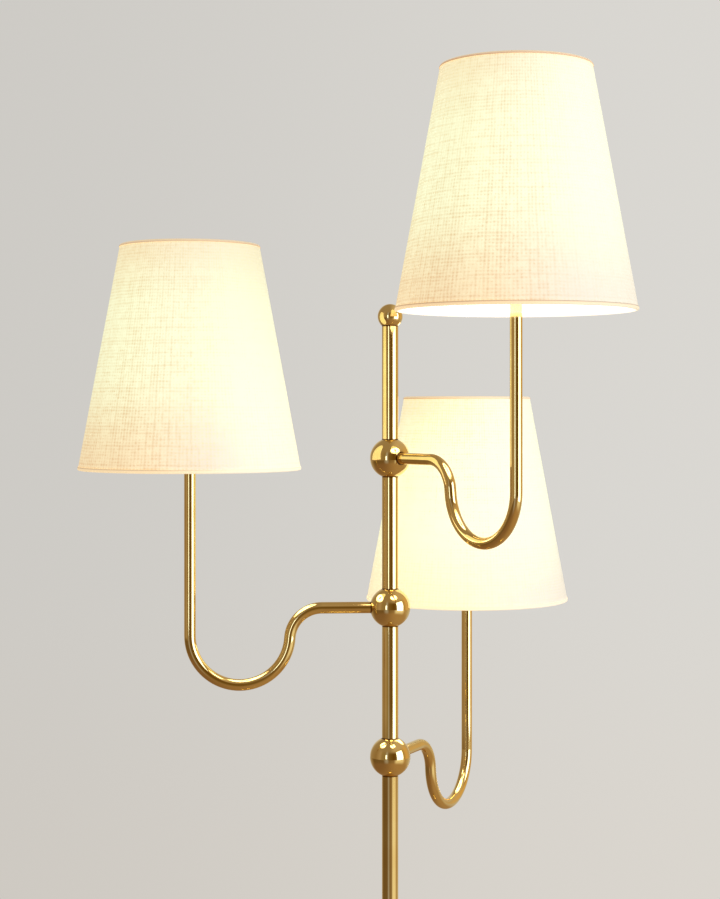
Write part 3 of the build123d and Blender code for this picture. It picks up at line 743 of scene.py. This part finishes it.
# What polished metal mirrors, by azimuth: 0.5 is the viewer's side, 0.75 the right, and 0 and 1 the far side.
PALE = (0.66, 0.62, 0.55)
COOL_BAND = (0.45, 0.45, 0.54)
ROOM = [
    (0.00, PALE),
    (0.05, PALE),
    (0.11, (0.40, 0.31, 0.21)),
    (0.25, (0.32, 0.22, 0.12)),
    (0.33, (0.46, 0.35, 0.25)),
    (0.365, (0.34, 0.25, 0.13)),
    (0.42, (0.30, 0.23, 0.13)),
    (0.435, COOL_BAND),
    (0.452, COOL_BAND),
    (0.47, (0.22, 0.145, 0.06)),
    (0.51, (0.18, 0.11, 0.03)),
    (0.56, (0.14, 0.07, 0.01)),
    (0.72, (0.40, 0.28, 0.14)),
    (0.79, (0.76, 0.50, 0.20)),
    (0.83, (0.74, 0.51, 0.24)),
    (0.88, (0.60, 0.46, 0.27)),
    (0.94, PALE),
    (1.00, PALE),
]
# The same for the floor of that room, which the softboxes light.
COOL_POOL = (0.40, 0.39, 0.46)
ROOM_FLOOR = [
    (0.00, PALE),
    (0.06, (0.50, 0.43, 0.34)),
    (0.17, (0.26, 0.17, 0.08)),
    (0.20, (0.17, 0.11, 0.05)),
    (0.39, (0.19, 0.12, 0.055)),
    (0.43, COOL_POOL),
    (0.452, COOL_POOL),
    (0.48, (0.24, 0.16, 0.08)),
    (0.56, (0.32, 0.22, 0.12)),
    (0.60, (0.95, 0.90, 0.78)),
    (0.71, (0.95, 0.88, 0.74)),
    (0.76, (0.48, 0.33, 0.18)),
    (0.84, (0.56, 0.46, 0.32)),
    (0.93, PALE),
    (1.00, PALE),
]
DEEP_LEFT, DEEP_RIGHT = (0.24, 0.14, 0.075), (0.43, 0.285, 0.155)  # the floor right below
HIGH_LEFT, HIGH_RIGHT = (0.36, 0.275, 0.185), (0.62, 0.50, 0.37)  # and the ceiling
WALL_LEFT, WALL_RIGHT = (0.612, 0.594, 0.560), (0.702, 0.684, 0.647)  # what the camera sees behind the lamp
WALL_LOW = (1.005, 0.982, 0.958)  # its tint near the floor
SOFT = (0.34, 0.332, 0.316)  # the even light on all that isn't polished

world = bpy.data.worlds.new("studio")
bpy.context.scene.world = world
world.use_nodes = True
net = Net(world.node_tree)
dx, dy, dz = net.split(net.add("ShaderNodeTexCoord").outputs["Generated"])
wall = net.mix(net.ramp(dx, -0.26, 0.24), WALL_LEFT, WALL_RIGHT)
wall = net.mix(net.ramp(dz, -0.28, -0.05), net.mix(1.0, wall, WALL_LOW, "MULTIPLY"), wall)
turn = net.plus(0.5, net.times(net.math("ARCTAN2", dx, net.times(dy, -1.0)), 1.0 / tau))
room_floor = net.profile(turn, ROOM_FLOOR)
deep = net.mix(net.ramp(dx, -0.75, 0.65), DEEP_LEFT, DEEP_RIGHT)
room_floor = net.mix(net.ramp(dz, -0.60, -0.30), deep, room_floor)
room = net.profile(turn, ROOM)
room = net.mix(net.ramp(dz, 0.35, 0.70), room, net.mix(net.ramp(dx, -0.1, 0.5), HIGH_LEFT, HIGH_RIGHT))
room = net.mix(net.ramp(dz, -0.205, -0.165), room_floor, room)
path = net.add("ShaderNodeLightPath")
mirrored = net.math("MAXIMUM", path.outputs["Is Glossy Ray"], path.outputs["Is Transmission Ray"])
seen = net.mix(path.outputs["Is Camera Ray"], net.mix(mirrored, SOFT, room), wall)
background = net.tree.nodes["Background"]
background.inputs["Strength"].default_value = 1.0
net.tree.links.new(seen, background.inputs["Color"])

# ---- Floor: a matt disc that fades out into the wall ----
FLOOR_SIDES, FLOOR_RINGS, FLOOR_STEP = 96, 13, 0.22
FLOOR_FADE = (1.3, 2.5)  # distances from the lamp
FLOOR_Z = -0.0002  # just clear of the felt


def floor_point(i, j):
    angle = tau * i / FLOOR_SIDES
    return Vector((FLOOR_STEP * j * cos(angle), FLOOR_STEP * j * sin(angle), 0.0))


floor_mesh = grid_mesh("floor", FLOOR_SIDES, FLOOR_RINGS, floor_point, close=True)
floor_finish, net, shader = material("floor")
place = net.object_place()
distance = net.add("ShaderNodeVectorMath", {0: place}, operation="LENGTH").outputs["Value"]
finish_shader(
    net,
    shader,
    Base_Color=net.mix(net.noise(place, 3.0, 3.0), (0.70, 0.685, 0.655), (0.73, 0.715, 0.682)),
    Roughness=0.85,
    Emission_Color=(0.60, 0.585, 0.56, 1.0),
    Emission_Strength=0.38,
    Alpha=net.ramp(distance, *FLOOR_FADE, 1.0, 0.0),
)
shader.inputs["Specular IOR Level"].default_value = 0.1
floor = new_object("floor", floor_mesh, Vector((0.0, 0.0, FLOOR_Z)), floor_finish)
floor.visible_glossy = False
